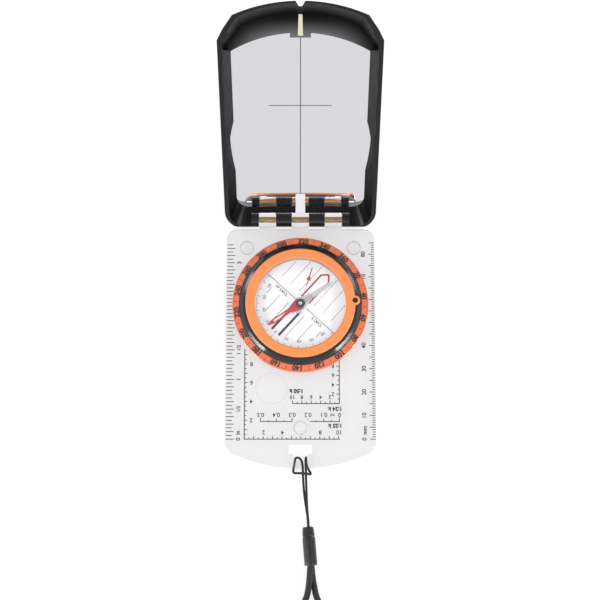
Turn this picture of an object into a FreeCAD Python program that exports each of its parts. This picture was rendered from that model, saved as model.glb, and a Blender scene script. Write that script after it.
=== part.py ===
"""Mirror-sighting baseplate compass: clear baseplate, turning dial with capsule, mirror lid, lanyard.

Millimetres. +Z is up, the feet rest on Z = 0, +X is to the right and +Y points from the lanyard to
the hinge. The origin is the middle of the open compass's footprint, without its lanyard.
"""
import FreeCAD
import Part
import math
import os

V = FreeCAD.Vector
UP = V(0, 0, 1)

# Driving dimensions: places
DIAL_Y = -16.8             # dial axis, measured from the origin
HINGE_FROM_DIAL = 37.2      # hinge axis beyond the dial axis
HINGE_Z = 7.0               # hinge axis above the table
LID_OPEN_DEG = 52.0         # lid's angle above flat, as modelled

# Driving dimensions: baseplate
FOOT_PROUD = 0.8
FOOT_R = 3.0
FOOT_PLACES = {"foot_left": (-23.3, 26.0), "foot_right": (23.3, 26.0), "foot_front": (0.0, -52.3)}
PLATE_T = 2.8
PLATE_TOP = FOOT_PROUD + PLATE_T
PLATE_CHAMFER = 0.35
PLATE_HALF_W = 32.2
PLATE_BACK = 33.9           # edge by the hinge, from the dial axis
PLATE_FRONT = -69.7         # middle of the curved front edge
BAR_BACK = -66.3            # lanyard bar's edge inside the slot
BAR_LOW = FOOT_PROUD + 0.7
BAR_HIGH = PLATE_TOP - 0.7
MAGNIFIER = (-12.3, -35.6)
MAGNIFIER_R = 6.7
MAGNIFIER_H = 0.8

# Driving dimensions: hinge
KNUCKLE_R = 3.05
PIN_R = 0.85
KNUCKLE_GAP = 0.15
CENTRE_KNUCKLE = 3.6        # half width of the plate's middle knuckle
SIDE_KNUCKLE = (10.5, 18.0) # where the plate's outer knuckles start and end
PIN_HALF_L = 20.4

# Driving dimensions: dial
BORE_R = 24.05
HUB_R = 24.0
FLANGE_R = 29.2
FLANGE_TOP = 7.8
GRIP_TOP = 11.0
GRIP_LOW_R = 26.3
TOP_RING_R = 23.4
WINDOW_R = 19.4
DIAL_TOP = 12.0
SCREW_R = 23.3              # screw's distance from the dial axis
SCREW_DEG = 2.4             # screw's place round the dial, from +X
GEAR_TEETH = 108
PINION_TEETH = 8
SECTOR_HALF_DEG = 58.0
CAPSULE_R = 20.9
FLOOR_TOP = 5.4
SEAL_TOP = 5.9
POST_LOW = 4.0               # pivot post's foot, inside the floor
NEEDLE_Z = 9.5
NEEDLE_DEG = 214.0          # direction of the needle's red half, from +X
POINTER_Z = 7.6
POINTER_DEG = 72.0          # direction of the clinometer pointer, from +X

# Driving dimensions: lid, in its own frame (x, distance from the hinge axis, height over it)
LID_HALF_W = 32.4
LID_FRONT = 2.9
LID_BACK = -8.6
LID_TIP = 106.8
RIM_T = 1.9
MIRROR_FACE = -5.7
MIRROR_T = 1.3
PAD_T = 0.3
BAY_LEAN = 0.47             # slope of the bay's end wall away from the mirror, by the hinge
BLOCK_HALF_W = 21.2         # hinge barrel's reach to each side
MIRROR_HALF_W = 27.5
MIRROR_LOW = 2.8
MIRROR_SHOULDER = 80.1
MIRROR_HIGH = 88.3
HOOD_FLOOR = -5.2
SIGHT_SLOT_HALF_W = 2.1
SIGHT_SLOT_TOP = 9.8
BULGE_REACH = 29.5          # mirror's half width over its bulging sides
BULGE_R = 38.0
BULGE_AT = 34.7             # middle of the bulges, from the hinge axis

# Driving dimensions: lanyard
HITCH_D = 1.0
NECK_D = 2.6
TOGGLE_TOP = V(3.1, -93.8, 2.75)
TOGGLE_END = V(4.4, -109.6, 2.75)
TOGGLE_R = 2.7
TOGGLE_CAP_L = 4.2
COIL_CENTRE = V(4.6, -152.0, 0)
COIL_R_IN = 11.1
COIL_R_OUT = 18.9
COIL_LOW = 0.9
COIL_HIGH = 8.7

# Route of the thin hitch cord, from the toggle round the bar and back, about the dial axis
HITCH_ROUTE = [
    (3.30, -94.3, 2.20), (3.05, -90.0, 2.20), (2.40, -86.0, 2.25), (1.60, -80.5, 2.40),
    (1.25, -76.0, 2.60), (1.10, -72.6, 2.85), (1.00, -70.0, 3.45), (0.85, -67.6, 3.50),
    (0.20, -65.7, 3.35), (-1.10, -64.9, 2.60), (-2.20, -65.2, 1.15), (-2.42, -66.9, 0.92),
    (-2.85, -69.2, 0.95), (-3.10, -70.9, 1.40), (-2.75, -71.5, 2.60), (-1.60, -71.6, 3.70),
    (0.40, -71.6, 4.05), (2.80, -71.8, 4.05), (4.20, -72.1, 3.30), (4.45, -71.7, 2.10),
    (3.80, -70.6, 1.10), (2.90, -68.9, 0.95), (2.42, -66.9, 0.92), (2.38, -65.2, 1.15),
    (2.35, -64.8, 2.60), (2.20, -65.8, 3.40), (2.25, -67.7, 3.50), (2.30, -70.0, 3.40),
    (2.35, -72.6, 2.80), (2.45, -76.0, 2.85), (2.60, -80.5, 3.10), (2.80, -86.0, 3.30),
    (3.20, -90.0, 3.30), (3.50, -94.3, 3.30)]

# Routes of the neck cord's two strands, from the toggle to the coil, about the dial axis
NECK_LEFT = [
    (4.2, -109.1, 4.0), (3.9, -113.6, 4.0), (3.5, -118.0, 3.1), (2.6, -123.2, 1.8),
    (-0.9, -128.4, 1.7), (-5.5, -134.7, 2.0), (-9.3, -141.0, 2.2)]
NECK_RIGHT = [
    (4.6, -109.1, 1.4), (4.9, -113.6, 1.35), (5.7, -118.0, 1.4), (6.7, -123.2, 2.1),
    (10.2, -128.4, 3.8), (14.7, -134.7, 6.0), (18.5, -141.0, 7.3)]

shapes = {}


def line(a, b):
    return Part.LineSegment(a, b).toShape()


def arc(a, mid, b):
    return Part.Arc(a, mid, b).toShape()


def prism(wire, height):
    return Part.Face(wire).extrude(V(0, 0, height))


def box(x0, x1, y0, y1, z0, z1):
    return Part.makeBox(x1 - x0, y1 - y0, z1 - z0, V(x0, y0, z0))


def cylinder(radius, z0, z1, x=0.0, y=0.0):
    return Part.makeCylinder(radius, z1 - z0, V(x, y, z0), UP)


def cross_cylinder(radius, x0, x1):
    return Part.makeCylinder(radius, x1 - x0, V(x0, 0, 0), V(1, 0, 0))


def ring(profile):
    """Solid of revolution about Z from corner points given as (radius, height)."""
    points = [V(r, 0, z) for r, z in profile]
    return Part.Face(Part.makePolygon(points + points[:1])).revolve(V(), UP, 360)


def polygon_prism(points, z0, height):
    corners = [V(x, y, z0) for x, y in points]
    return prism(Part.makePolygon(corners + corners[:1]), height)


def side_prism(points, half_width):
    """Extrusion along X of corner points given as (distance from hinge, height)."""
    corners = [V(-half_width, u, w) for u, w in points]
    return Part.Face(Part.makePolygon(corners + corners[:1])).extrude(V(2 * half_width, 0, 0))


def at_dial(shape):
    shape.translate(V(0, DIAL_Y, 0))
    return shape


def at_screw(shape):
    """Places a part made with its screw feature on +X: turns it to the screw's own place."""
    shape.rotate(V(), UP, SCREW_DEG)
    return at_dial(shape)


def on_lid(shape):
    """Places a lid part: turns it up about the hinge axis."""
    shape.rotate(V(), V(1, 0, 0), LID_OPEN_DEG)
    shape.translate(V(0, DIAL_Y + HINGE_FROM_DIAL, HINGE_Z))
    return shape


def tube(name, route, diameter):
    """Round cord along straight runs joined by tangent arcs; prints its radii and volume ratio."""
    points = [V(*p) for p in route]
    edges = []
    radii = []
    start = points[0]
    for before, corner, after in zip(points, points[1:], points[2:]):
        run_in = corner - before
        run_out = after - corner
        half_turn = run_in.getAngle(run_out) / 2
        reach = 0.45 * min(run_in.Length, run_out.Length)
        radii.append(reach / math.tan(half_turn))
        enter = corner - V(run_in).normalize() * reach
        leave = corner + V(run_out).normalize() * reach
        to_middle = (enter + leave) * 0.5 - corner
        dip = radii[-1] * (1 / math.cos(half_turn) - 1)
        edges += [line(start, enter), arc(enter, corner + V(to_middle).normalize() * dip, leave)]
        start = leave
    edges.append(line(start, points[-1]))
    path = Part.Wire(edges)
    direction = points[1] - points[0]
    section = Part.Wire(Part.makeCircle(diameter / 2, points[0], direction))
    solid = Part.Wire(path).makePipeShell([section], True, True)
    expected = math.pi * (diameter / 2) ** 2 * path.Length
    print("%s: length %.1f, volume ratio %.3f, radii %s" % (
        name, path.Length, solid.Volume / expected, ["%.1f" % r for r in radii]))
    return solid


# ---------------------------------------------------------------- baseplate

def plate_outline(inset, z):
    """Plate's edge: rounded back corners, straight sides and a broad curved front."""
    w = PLATE_HALF_W - inset
    back = PLATE_BACK - inset
    r = 5.0
    k = r * (1 - math.sqrt(0.5))
    side_end = -58.5
    turn = (30.2 - 0.8 * inset, -62.7 + 0.8 * inset)
    bulge = (31.6 - inset, -60.9 + 0.4 * inset)
    return Part.Wire([
        line(V(-w + r, back, z), V(w - r, back, z)),
        arc(V(w - r, back, z), V(w - k, back - k, z), V(w, back - r, z)),
        line(V(w, back - r, z), V(w, side_end, z)),
        arc(V(w, side_end, z), V(*bulge, z), V(*turn, z)),
        arc(V(*turn, z), V(0, PLATE_FRONT + inset, z), V(-turn[0], turn[1], z)),
        arc(V(-turn[0], turn[1], z), V(-bulge[0], bulge[1], z), V(-w, side_end, z)),
        line(V(-w, side_end, z), V(-w, back - r, z)),
        arc(V(-w, back - r, z), V(-w + k, back - k, z), V(-w + r, back, z)),
    ])


def plate_knuckle(x0, x1):
    """One clear hinge knuckle with the arm that carries it from the plate's back edge."""
    barrel = cross_cylinder(KNUCKLE_R, x0, x1)
    foot = PLATE_BACK - HINGE_FROM_DIAL
    low = FOOT_PROUD - HINGE_Z
    top = PLATE_TOP - HINGE_Z
    arm = [(foot - 3.0, top - 0.1), (foot - 0.4, top + 0.9), (-2.2, -0.6), (0.0, -2.0),
           (-0.1, -3.0), (-0.9, low + 0.8), (-1.6, low), (foot - 3.0, low)]
    corners = [V(x0, u, w) for u, w in arm]
    web = Part.Face(Part.makePolygon(corners + corners[:1])).extrude(V(x1 - x0, 0, 0))
    solid = barrel.fuse(web)
    solid.translate(V(0, HINGE_FROM_DIAL, HINGE_Z))
    return solid


def lanyard_slot():
    wide = box(-4.9, 4.9, -63.35, -59.6, 0, 5)
    neck_points = [(-3.5, -63.36), (3.5, -63.36), (2.95, -64.0), (2.95, BAR_BACK), (-2.95, BAR_BACK),
                   (-2.95, -64.0)]
    return wide.fuse(polygon_prism(neck_points, 0, 5))


def bar_recess():
    upper = box(-8.5, 8.5, -71.0, BAR_BACK, BAR_HIGH, 5)
    lower = box(-8.5, 8.5, -71.0, BAR_BACK, 0, BAR_LOW)
    return upper.fuse(lower)


def make_baseplate():
    plate = prism(plate_outline(0.0, FOOT_PROUD), PLATE_T - PLATE_CHAMFER)
    bevel = [plate_outline(0.0, PLATE_TOP - PLATE_CHAMFER), plate_outline(PLATE_CHAMFER, PLATE_TOP)]
    plate = plate.fuse(Part.makeLoft(bevel, True, True))
    cap_r = (MAGNIFIER_R ** 2 + MAGNIFIER_H ** 2) / (2 * MAGNIFIER_H)
    x, y = MAGNIFIER
    sphere = Part.makeSphere(cap_r, V(x, y, PLATE_TOP + MAGNIFIER_H - cap_r))
    lens = sphere.common(cylinder(MAGNIFIER_R, PLATE_TOP - 1.0, PLATE_TOP + 2, x, y))
    plate = plate.fuse(lens)
    for x0, x1 in knuckle_spans():
        plate = plate.fuse(plate_knuckle(x0, x1))
    retainer_r = 26.2
    retainer_top = FOOT_PROUD + 1.0
    plate = plate.cut(cylinder(BORE_R, 0, 9))
    plate = plate.cut(cylinder(retainer_r, 0, retainer_top))
    for x, y in FOOT_PLACES.values():
        plate = plate.cut(cylinder(FOOT_R + 0.02, 0, FOOT_PROUD + 0.85, x, y))
    plate = plate.cut(lanyard_slot()).cut(bar_recess())
    bore = cross_cylinder(PIN_R, -30, 30)
    bore.translate(V(0, HINGE_FROM_DIAL, HINGE_Z))
    return at_dial(plate.cut(bore).removeSplitter())


def knuckle_spans():
    a, b = SIDE_KNUCKLE
    return [(-b + KNUCKLE_GAP, -a - KNUCKLE_GAP), (-CENTRE_KNUCKLE, CENTRE_KNUCKLE),
            (a + KNUCKLE_GAP, b - KNUCKLE_GAP)]


def make_foot(x, y):
    pad = cylinder(FOOT_R, 0, FOOT_PROUD + 0.85, x, y)
    rim = [e for e in pad.Edges if e.BoundBox.ZMax < 0.01]
    return at_dial(pad.makeChamfer(0.25, rim))


def make_hinge_pin():
    pin = cross_cylinder(PIN_R, -PIN_HALF_L, PIN_HALF_L)
    pin.translate(V(0, DIAL_Y + HINGE_FROM_DIAL, HINGE_Z))
    return pin


# ---------------------------------------------------------------- dial

def make_dial_ring():
    hub_low = 0.95
    body = ring([
        (19.8, hub_low), (HUB_R, hub_low), (HUB_R, PLATE_TOP + 0.15), (FLANGE_R - 0.3, PLATE_TOP + 0.15),
        (FLANGE_R, PLATE_TOP + 0.45), (FLANGE_R, 7.0), (FLANGE_R - 0.25, 7.25), (GRIP_LOW_R, FLANGE_TOP),
        (21.0, FLANGE_TOP), (21.0, 1.25), (19.8, 1.25)])
    shaft_hole = cylinder(0.72, 6.4, FLANGE_TOP + 1, SCREW_R, 0)
    return at_screw(body.cut(shaft_hole))


def make_grip_ring():
    """Black ring with a sloped face and an ear round the screw."""
    body = ring([
        (22.4, FLANGE_TOP), (GRIP_LOW_R, FLANGE_TOP), (GRIP_LOW_R, 8.3), (25.7, 9.4), (24.6, 10.6),
        (TOP_RING_R, GRIP_TOP), (22.4, GRIP_TOP)])
    body = body.fuse(cylinder(2.7, FLANGE_TOP, GRIP_TOP, SCREW_R - 0.2, 0))
    body = body.common(cylinder(GRIP_LOW_R, 0, 20))
    body = body.cut(cylinder(22.4, 0, 20))
    return at_screw(body.cut(cylinder(2.15, 0, 20, SCREW_R, 0)))


def make_top_ring():
    rounded = 0.35
    body = ring([
        (WINDOW_R, GRIP_TOP), (TOP_RING_R, GRIP_TOP), (TOP_RING_R, DIAL_TOP - rounded),
        (TOP_RING_R - rounded, DIAL_TOP), (WINDOW_R + 0.5, DIAL_TOP), (WINDOW_R, DIAL_TOP - 0.5)])
    tab = cylinder(2.1, GRIP_TOP, DIAL_TOP, SCREW_R, 0)
    top = [e for e in tab.Edges if e.BoundBox.ZMin > DIAL_TOP - 0.01]
    body = body.fuse(tab.makeChamfer(rounded, top))
    return at_screw(body.cut(cylinder(1.15, 0, 20, SCREW_R, 0)).removeSplitter())


def make_retaining_ring():
    low = 0.95
    high = FOOT_PROUD + 0.9
    split_half = 0.6
    body = ring([(HUB_R, low), (25.9, low), (25.9, high), (HUB_R, high)])
    return at_dial(body.cut(box(-split_half, split_half, -30, -20, 0, 5)))


def tooth_points(pitch_r, teeth, angle):
    """Corners of one straight-sided tooth, from root to tip and back."""
    addendum = 0.30
    dedendum = 0.42
    pitch = 2 * math.pi * pitch_r / teeth
    root_r = pitch_r - dedendum
    tip_r = pitch_r + addendum
    root_half = 0.25 * pitch / root_r
    tip_half = 0.09 * pitch / tip_r
    corners = [(root_r, -root_half), (tip_r, -tip_half), (tip_r, tip_half), (root_r, root_half)]
    return [(r * math.cos(angle + a), r * math.sin(angle + a)) for r, a in corners]


def gear_pitch_radii():
    module = 2 * SCREW_R / (GEAR_TEETH + PINION_TEETH)
    return module * GEAR_TEETH / 2, module * PINION_TEETH / 2


def make_declination_gear():
    """Ring round the capsule with teeth over the arc that the pinion can reach."""
    pitch_r = gear_pitch_radii()[0]
    low = 9.4
    high = 10.6
    body = ring([(CAPSULE_R, low), (pitch_r - 0.35, low), (pitch_r - 0.35, high), (CAPSULE_R, high)])
    step = 2 * math.pi / GEAR_TEETH
    count = int(math.radians(SECTOR_HALF_DEG) / step)
    teeth = [polygon_prism(tooth_points(pitch_r, GEAR_TEETH, i * step), low, high - low)
             for i in range(-count, count + 1)]
    return at_screw(body.fuse(teeth).removeSplitter())


def make_declination_screw():
    """Slotted screw, its shaft and the pinion on it, as one turned piece."""
    pitch_r = gear_pitch_radii()[1]
    body = cylinder(0.68, 6.5, 11.2)
    body = body.fuse(cylinder(pitch_r - 0.42 + 0.02, 9.2, 10.8))
    for i in range(PINION_TEETH):
        angle = 2 * math.pi * (i + 0.5) / PINION_TEETH
        body = body.fuse(polygon_prism(tooth_points(pitch_r, PINION_TEETH, angle), 9.2, 1.6))
    body = body.fuse(cylinder(1.08, 11.1, 11.7))
    body = body.cut(box(-2, 2, -0.15, 0.15, 11.35, 12))
    body.translate(V(SCREW_R, 0, 0))
    return at_screw(body.removeSplitter())


# ---------------------------------------------------------------- capsule and needle

def make_capsule_base():
    """Clear floor with a foot rim, and a boss that holds the pivot post."""
    under = FLOOR_TOP - 2.0
    body = ring([
        (0, under), (19.0, under), (19.0, 1.35), (CAPSULE_R, 1.35), (CAPSULE_R, FLOOR_TOP), (0, FLOOR_TOP)])
    boss = cylinder(1.4, FLOOR_TOP - 0.1, FLOOR_TOP + 0.8)
    return at_dial(body.fuse(boss).cut(cylinder(0.5, POST_LOW, 9)).removeSplitter())


def make_capsule_seal():
    return at_dial(ring([(19.6, FLOOR_TOP), (20.7, FLOOR_TOP), (20.7, SEAL_TOP), (19.6, SEAL_TOP)]))


def make_capsule_cover():
    """Clear cup with a raised window that stands inside the top ring."""
    roof = 10.7
    rim = 10.85
    window = 11.55
    return at_dial(ring([
        (0, roof), (18.5, roof), (19.6, roof - 1.1), (19.6, SEAL_TOP), (CAPSULE_R, SEAL_TOP),
        (CAPSULE_R, rim), (19.2, rim), (18.95, window - 0.15), (18.5, window), (0, window)]))


def make_pivot_post():
    neck = NEEDLE_Z - 0.4
    shaft = cylinder(0.5, POST_LOW, neck)
    point = Part.makeCone(0.5, 0.08, 0.9, V(0, 0, neck), UP)
    collar = cylinder(0.95, POINTER_Z - 0.5, POINTER_Z - 0.05)
    return at_dial(shaft.fuse(point).fuse(collar).removeSplitter())


def needle_half_outline(sign):
    """Half of the needle's edge, from the middle out to one tip and back."""
    side = [(0.0, 2.7), (2.4, 2.1), (5.6, 1.05), (14.6, 0.95), (16.8, 0.12)]
    out = [(sign * s, sign * h) for s, h in side]
    back = [(sign * s, -sign * h) for s, h in reversed(side)]
    return out + back


def make_needle():
    thickness = 0.3
    outline = needle_half_outline(1)[:-1] + needle_half_outline(-1)[:-1]
    body = polygon_prism(outline, NEEDLE_Z, thickness)
    slot = box(7.6, 13.6, -0.38, 0.38, NEEDLE_Z - 1, NEEDLE_Z + 1)
    body = body.cut(slot).cut(cylinder(1.2, 0, 20))
    body.rotate(V(), UP, NEEDLE_DEG)
    return at_dial(body)


def make_needle_magnet():
    bar = box(-6.0, 6.0, -0.9, 0.9, NEEDLE_Z - 0.8, NEEDLE_Z)
    bar = bar.cut(cylinder(1.2, 0, 20))
    bar = bar.fuse(ring([(1.2, NEEDLE_Z - 0.8), (1.7, NEEDLE_Z - 0.8), (1.7, NEEDLE_Z), (1.2, NEEDLE_Z)]))
    bar.rotate(V(), UP, NEEDLE_DEG)
    return at_dial(bar.removeSplitter())


def make_needle_hub():
    low = NEEDLE_Z - 0.8
    high = NEEDLE_Z + 1.05
    return at_dial(ring([
        (0.75, low), (1.18, low), (1.18, NEEDLE_Z + 0.3), (1.95, NEEDLE_Z + 0.3), (1.95, high - 0.25),
        (1.7, high), (1.15, high), (1.0, high - 0.15), (0.75, high - 0.15)]))


def make_hub_jewel():
    cup = [(0, 0.62), (0.2, 0.55), (0.55, 0.2), (0.75, 0.2), (0.75, 0.95), (0.5, 1.05), (0, 1.08)]
    return at_dial(ring([(r, NEEDLE_Z + z) for r, z in cup]))


def make_clinometer_pointer():
    """Free pointer under the needle: an eye on the post, a thin arm with an arrowhead, a weight."""
    low = POINTER_Z
    high = POINTER_Z + 0.3
    body = ring([(0.56, low), (1.3, low), (1.3, high), (0.56, high)])
    body = body.fuse(box(1.1, 16.6, -0.22, 0.22, low, high))
    head = polygon_prism([(11.0, -1.05), (13.7, 0.0), (11.0, 1.05)], low, high - low)
    tail = polygon_prism([(-1.0, -0.8), (-1.0, 0.8), (-3.6, 2.0), (-4.4, 0.0), (-3.6, -2.0)], low, high - low)
    body = body.fuse(head).fuse(tail)
    body = body.cut(cylinder(0.56, 0, 20))
    body.rotate(V(), UP, POINTER_DEG)
    return at_dial(body.removeSplitter())


# ---------------------------------------------------------------- lid

def lid_loop(inset, setback, height, low, tip_inset=None):
    """Closed outline of the lid at one height.

    inset moves the sides in, setback moves the tip towards the hinge and low is the hinge-end edge.
    """
    tip_in = inset if tip_inset is None else tip_inset
    w = LID_HALF_W - inset
    r = max(9.6 - inset, 2.0)
    k = r * (1 - math.sqrt(0.5))
    tip = LID_TIP - setback - tip_in
    shoulder = (w - 0.2, 89.9 - 0.8 * setback - 0.5 * tip_in)
    corner = (w - 2.5 - 0.05 * setback, 94.7 - setback - 0.8 * tip_in)
    arc_end = (w - 6.4 - 0.1 * setback, 100.8 - setback - 0.9 * tip_in)
    edges = [
        line(V(-w + r, low, height), V(w - r, low, height)),
        arc(V(w - r, low, height), V(w - k, low + k, height), V(w, low + r, height)),
        line(V(w, low + r, height), V(*shoulder, height)),
        line(V(*shoulder, height), V(*corner, height)),
        line(V(*corner, height), V(*arc_end, height)),
        arc(V(*arc_end, height), V(0, tip, height), V(-arc_end[0], arc_end[1], height)),
        line(V(-arc_end[0], arc_end[1], height), V(-corner[0], corner[1], height)),
        line(V(-corner[0], corner[1], height), V(-shoulder[0], shoulder[1], height)),
        line(V(-shoulder[0], shoulder[1], height), V(-w, low + r, height)),
        arc(V(-w, low + r, height), V(-w + k, low + k, height), V(-w + r, low, height)),
    ]
    return Part.Wire(edges)


def lid_body():
    """Outside of the lid, with its hinge end rounded about the hinge axis."""
    hood_setback = 9.6
    low = -3.1
    crease = -0.5
    upper = Part.makeLoft([lid_loop(0.0, 0.0, LID_FRONT, low), lid_loop(0.15, 2.6, crease, low)], True, True)
    lower = Part.makeLoft([lid_loop(0.15, 2.6, crease, low), lid_loop(0.9, hood_setback, LID_BACK, low)],
                          True, True)
    body = upper.fuse(lower)
    far = 130.0
    hinge_round = [
        line(V(-40, -1.1, LID_FRONT), V(-40, far, LID_FRONT)),
        line(V(-40, far, LID_FRONT), V(-40, far, LID_BACK)),
        line(V(-40, far, LID_BACK), V(-40, 1.2, LID_BACK)),
        arc(V(-40, 1.2, LID_BACK), V(-40, -1.4, -7.5), V(-40, -2.9, -4.6)),
        line(V(-40, -2.9, -4.6), V(-40, -3.1, 0)),
        arc(V(-40, -3.1, 0), V(-40, -2.34, 2.03), V(-40, -1.1, LID_FRONT)),
    ]
    return body.common(Part.Face(Part.Wire(hinge_round)).extrude(V(80, 0, 0)))


def mirror_outline(grow, height):
    """Mirror's edge: rounded lower corners, an arched top; its side bulges are added apart."""
    w = MIRROR_HALF_W + grow
    low = MIRROR_LOW - grow
    r = 5.3
    k = r * (1 - math.sqrt(0.5))
    shoulder = MIRROR_SHOULDER + grow
    edges = [
        line(V(-w + r, low, height), V(w - r, low, height)),
        arc(V(w - r, low, height), V(w - k, low + k, height), V(w, low + r, height)),
        line(V(w, low + r, height), V(w, shoulder, height)),
        arc(V(w, shoulder, height), V(0, MIRROR_HIGH + grow, height), V(-w, shoulder, height)),
        line(V(-w, shoulder, height), V(-w, low + r, height)),
        arc(V(-w, low + r, height), V(-w + k, low + k, height), V(-w + r, low, height)),
    ]
    return Part.Wire(edges)


def mirror_bulges(grow, low, high):
    """Lens-shaped plate whose two arcs give the mirror its bulging sides."""
    reach = BULGE_REACH + grow
    r = BULGE_R + grow
    x = MIRROR_HALF_W - 2.0
    half = math.sqrt(r ** 2 - (r - reach + x) ** 2)
    start = BULGE_AT - half
    end = BULGE_AT + half
    return prism(Part.Wire([
        line(V(-x, start, low), V(x, start, low)),
        arc(V(x, start, low), V(reach, BULGE_AT, low), V(x, end, low)),
        line(V(x, end, low), V(-x, end, low)),
        arc(V(-x, end, low), V(-reach, BULGE_AT, low), V(-x, start, low)),
    ]), high - low)


def mirror_plate(grow, low, high):
    plate = prism(mirror_outline(grow, low), high - low)
    return plate.fuse(mirror_bulges(grow, low, high))


def lid_bay():
    """Space over the mirror: it widens towards the front, so that the dial fits when shut."""
    top = LID_FRONT + 1.0
    spread = (LID_HALF_W - RIM_T - MIRROR_HALF_W) / (LID_FRONT - MIRROR_FACE) * (top - MIRROR_FACE)
    lower = mirror_outline(0.0, MIRROR_FACE)
    w = MIRROR_HALF_W + spread
    low = MIRROR_LOW - BAY_LEAN * (top - MIRROR_FACE)
    r = 7.0
    k = r * (1 - math.sqrt(0.5))
    shoulder = MIRROR_SHOULDER + 0.6
    upper = Part.Wire([
        line(V(-w + r, low, top), V(w - r, low, top)),
        arc(V(w - r, low, top), V(w - k, low + k, top), V(w, low + r, top)),
        line(V(w, low + r, top), V(w, shoulder, top)),
        arc(V(w, shoulder, top), V(0, MIRROR_HIGH, top), V(-w, shoulder, top)),
        line(V(-w, shoulder, top), V(-w, low + r, top)),
        arc(V(-w, low + r, top), V(-w + k, low + k, top), V(-w + r, low, top)),
    ])
    bay = Part.makeLoft([lower, upper], True, True)
    return bay.fuse(mirror_bulges(0.1, MIRROR_FACE, top))


def lid_hood_hollow():
    """Hollow of the hood: flat floor beyond the mirror and a sloped face up to the thin lip.

    The ledges beside the mirror end in slanted faces; between them the hollow meets the bay.
    """
    start = MIRROR_SHOULDER + 0.2
    end = start + 5.3
    floor_inset = 2.1
    floor_setback = 8.6
    lip_inset = 1.9
    lip_top = LID_FRONT + 0.01
    floor = lid_loop(floor_inset, floor_setback, HOOD_FLOOR, 0.0, 1.2)
    lip = lid_loop(lip_inset, 0.0, lip_top, 0.0, 0.9)
    hollow = Part.makeLoft([floor, lip], True, True)
    limits = [(start, MIRROR_FACE), (120, MIRROR_FACE), (120, 10), (end + 5.0, 10), (end, LID_FRONT)]
    past_ledges = hollow.common(side_prism(limits, 40))
    spread = (LID_HALF_W - RIM_T - MIRROR_HALF_W) / (LID_FRONT - MIRROR_FACE)
    near = MIRROR_HALF_W + spread * (HOOD_FLOOR - MIRROR_FACE)
    far = MIRROR_HALF_W + spread * (10.0 - MIRROR_FACE)
    section = [(-near, HOOD_FLOOR), (near, HOOD_FLOOR), (far, 10.0), (-far, 10.0)]
    corners = [V(x, start - 2.0, w) for x, w in section]
    between = Part.Face(Part.makePolygon(corners + corners[:1])).extrude(V(0, 15, 0))
    edge = Part.makeLoft([mirror_outline(0.0, MIRROR_FACE), mirror_outline(0.9, HOOD_FLOOR)], True, True)
    edge = edge.common(box(-near, near, start, 120, -10, 0))
    return [past_ledges, hollow.common(between), edge]


def sight_notch():
    """Notch in the hood's lip, cut along a slant so that it can be seen through from in front."""
    top = 3.5
    outline = [(-2.35, LID_TIP + 1.1), (2.35, LID_TIP + 1.1), (0.65, LID_TIP - 1.8), (-0.65, LID_TIP - 1.8)]
    corners = [V(x, u, top) for x, u in outline]
    return Part.Face(Part.makePolygon(corners + corners[:1])).extrude(V(0, -5.05, -8.5))


def make_lid_shell():
    barrel = cross_cylinder(KNUCKLE_R, -BLOCK_HALF_W, BLOCK_HALF_W)
    body = lid_body().cut(lid_bay()).fuse(barrel)
    for hollow in lid_hood_hollow():
        body = body.cut(hollow)
    pocket_floor = MIRROR_FACE - MIRROR_T - PAD_T
    body = body.cut(mirror_plate(0.08, pocket_floor, MIRROR_FACE + 0.02))
    tab = box(-4.1, 4.1, MIRROR_HIGH - 1.9, MIRROR_HIGH + 1.5, MIRROR_FACE + 0.1, HOOD_FLOOR)
    body = body.fuse(tab)
    for x0, x1 in knuckle_spans():
        left = x0 - KNUCKLE_GAP
        right = x1 + KNUCKLE_GAP
        clearance = KNUCKLE_R + 0.25
        body = body.cut(cross_cylinder(clearance, left, right))
        body = body.cut(box(left, right, -5, 0.05, -12, 5))
        body = body.cut(box(left, right, -5, clearance, 0, 5))
    body = body.cut(cross_cylinder(PIN_R + 0.04, -PIN_HALF_L - 0.2, PIN_HALF_L + 0.2))
    body = body.cut(box(-SIGHT_SLOT_HALF_W, SIGHT_SLOT_HALF_W, -5, SIGHT_SLOT_TOP, -12, 5))
    body = body.cut(sight_notch())
    return on_lid(body.removeSplitter())


def make_mirror():
    body = mirror_plate(0.0, MIRROR_FACE - MIRROR_T, MIRROR_FACE)
    slot = box(-SIGHT_SLOT_HALF_W + 0.05, SIGHT_SLOT_HALF_W - 0.05, -5, SIGHT_SLOT_TOP - 0.05, -12, 5)
    return on_lid(body.cut(slot).removeSplitter())


def make_mirror_pad():
    top = MIRROR_FACE - MIRROR_T
    body = prism(mirror_outline(-3.0, top - PAD_T), PAD_T)
    body = body.cut(box(-SIGHT_SLOT_HALF_W - 1, SIGHT_SLOT_HALF_W + 1, -5, SIGHT_SLOT_TOP + 1, -12, 5))
    return on_lid(body)


def make_sight_strip():
    """Tapered luminous strip on the hood's floor, from the mirror to the foot of the slope."""
    thickness = 0.25
    start = MIRROR_HIGH - 0.9
    end = 96.7
    corners = [(-1.05, start), (1.05, start), (0.72, end), (-0.72, end)]
    return on_lid(polygon_prism(corners, HOOD_FLOOR, thickness))


# ---------------------------------------------------------------- lanyard

def along_toggle(shape):
    """Turns a shape made along +Z so that it runs from the toggle's top to its end."""
    axis = TOGGLE_END - TOGGLE_TOP
    turn = FreeCAD.Rotation(UP, axis)
    shape.Placement = FreeCAD.Placement(TOGGLE_TOP, turn)
    return at_dial(shape)


def make_toggle_cap():
    return along_toggle(ring([
        (0, 0), (1.9, 0), (2.35, 0.5), (2.6, TOGGLE_CAP_L - 0.5), (2.35, TOGGLE_CAP_L),
        (0, TOGGLE_CAP_L)]))


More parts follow.
